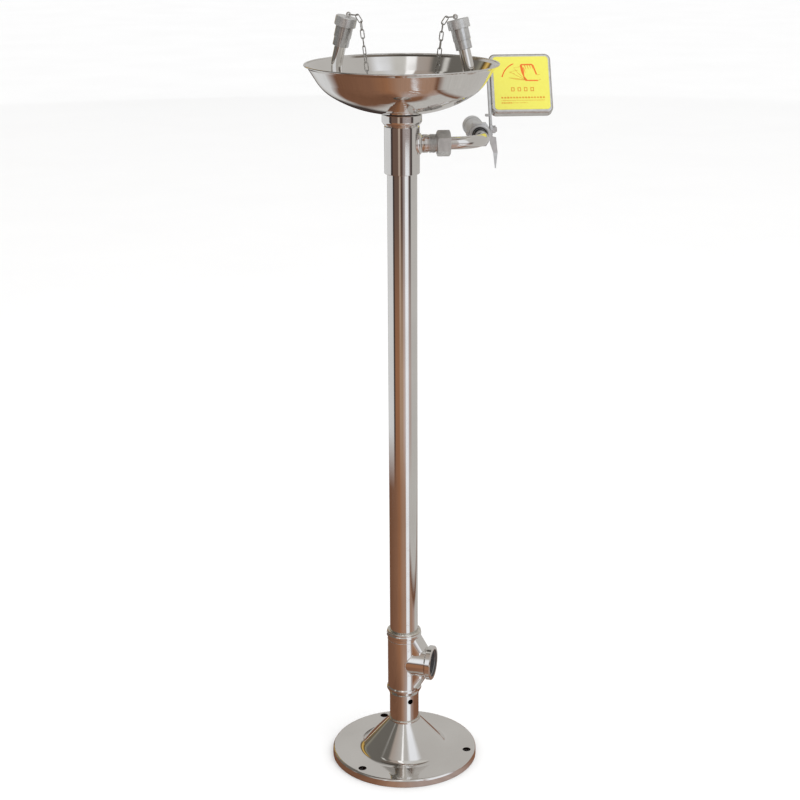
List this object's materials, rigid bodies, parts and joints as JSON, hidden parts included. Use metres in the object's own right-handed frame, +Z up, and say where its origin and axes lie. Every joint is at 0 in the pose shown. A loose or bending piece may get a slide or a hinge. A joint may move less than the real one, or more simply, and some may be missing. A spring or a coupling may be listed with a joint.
{
  "type": "pedestal eyewash station",
  "caption": "Free-standing pedestal emergency eyewash with a round bowl, twin spray heads under chained dust caps, side valve and push plate.",
  "frame": {"origin": "floor level on the column's axis, at the centre of the anchor holes", "axes": "+X along the upper water branch (right-hand side from the front), +Y along the valve, away from the user, +Z up"},
  "size_m": [0.3682, 0.3179, 1.1276],
  "materials": {
    "stainless": "mirror-polished stainless steel",
    "stainless_satin": "satin cast and turned stainless steel",
    "cap_metal": "fine-turned stainless steel",
    "chain_steel": "bright welded-link chain",
    "seal": "black rubber",
    "valve_seat": "white PTFE",
    "spray_plastic": "dark moulded plastic",
    "label": "printed yellow vinyl film"
  },
  "bodies": {
    "root": {"base_flange": "stainless", "lower_stub": "stainless", "drain_tee": "stainless", "column_tube": "stainless", "upper_body": "stainless", "side_nipple": "stainless_satin", "union_nut": "stainless_satin", "union_seal": "seal", "union_tail_flange": "stainless_satin", "elbow_tube": "stainless", "riser_tube": "stainless", "manifold": "stainless", "bowl": "stainless", "bowl_seal": "seal", "strainer_seal": "seal", "drain_tailpiece": "stainless", "strainer_plate": "stainless", "strainer_screws": "stainless", "compression_nut": "stainless_satin", "compression_ring": "stainless_satin", "valve_body": "stainless_satin", "valve_end": "stainless_satin", "ball_seats": "valve_seat", "stem_packing": "valve_seat", "gland_nut": "stainless_satin", "left_nozzle_arm": "stainless", "left_nozzle_sleeve": "stainless", "left_nozzle_head": "stainless_satin", "left_spray_insert": "spray_plastic", "left_chain": "chain_steel", "left_chain_clip": "stainless", "right_nozzle_arm": "stainless", "right_nozzle_sleeve": "stainless", "right_nozzle_head": "stainless_satin", "right_spray_insert": "spray_plastic", "right_chain": "chain_steel", "right_chain_clip": "stainless"},
    "handle": {"lever": "stainless", "lever_washer": "stainless", "stem_nut": "stainless", "push_plate": "stainless", "push_plate_label": "label", "plate_rivets": "stainless_satin", "valve_stem": "stainless_satin", "valve_ball": "stainless"},
    "left_cap": {"left_dust_cap": "cap_metal", "left_cap_seal": "seal", "left_cap_eye": "stainless"},
    "right_cap": {"right_dust_cap": "cap_metal", "right_cap_seal": "seal", "right_cap_eye": "stainless"}
  },
  "joints": [
    {"name": "handle_turn", "type": "hinge", "parent": "root", "child": "handle", "pos_m": [0.1175, 0.122, 0.9491], "axis": [-1, 0, 0], "range_deg": [0, 90]},
    {"name": "left_cap_lift", "type": "slide", "parent": "root", "child": "left_cap", "axis": [0.2243, -0.0906, 0.9703], "range_m": [0, 0.012], "deforming": ["left_chain"]},
    {"name": "right_cap_lift", "type": "slide", "parent": "root", "child": "right_cap", "axis": [-0.2243, 0.0906, 0.9703], "range_m": [0, 0.012], "deforming": ["right_chain"]}
  ]
}
